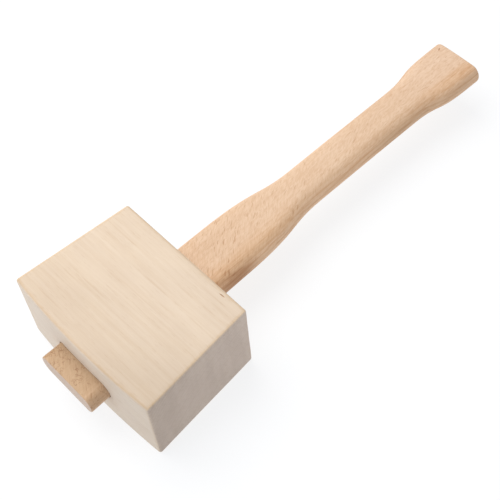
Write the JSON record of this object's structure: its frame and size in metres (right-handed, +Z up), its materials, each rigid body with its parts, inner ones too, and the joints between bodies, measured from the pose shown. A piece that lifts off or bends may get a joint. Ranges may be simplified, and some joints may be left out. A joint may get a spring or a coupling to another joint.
{
  "type": "wooden mallet",
  "caption": "Plain wooden mallet: a tapered block head with flat striking faces and an arched top, on a through-tenoned board handle with a slim grip and a flared, square-cut butt.",
  "frame": {"origin": "centre of the lower cheek, the flat side of the head that the mallet lies on, halfway between the striking faces and halfway between the head's top corners and its foot", "axes": "+X along the head from one striking face to the other, +Y along the handle from the head's top to the butt, +Z up through the head's thickness"},
  "size_m": [0.1198, 0.3444, 0.0605],
  "materials": {
    "head_wood": "fine-sanded, unfinished pale hardwood, matt",
    "handle_wood": "fine-sanded, unfinished steamed beech with short dark ray flecks, matt"
  },
  "bodies": {
    "head": {"head": "head_wood"},
    "handle": {"handle": "handle_wood"}
  },
  "joints": [
    {"name": "handle_draw_out", "type": "slide", "parent": "head", "child": "handle", "axis": [0, -1, 0], "range_m": [0, 0.336]}
  ]
}
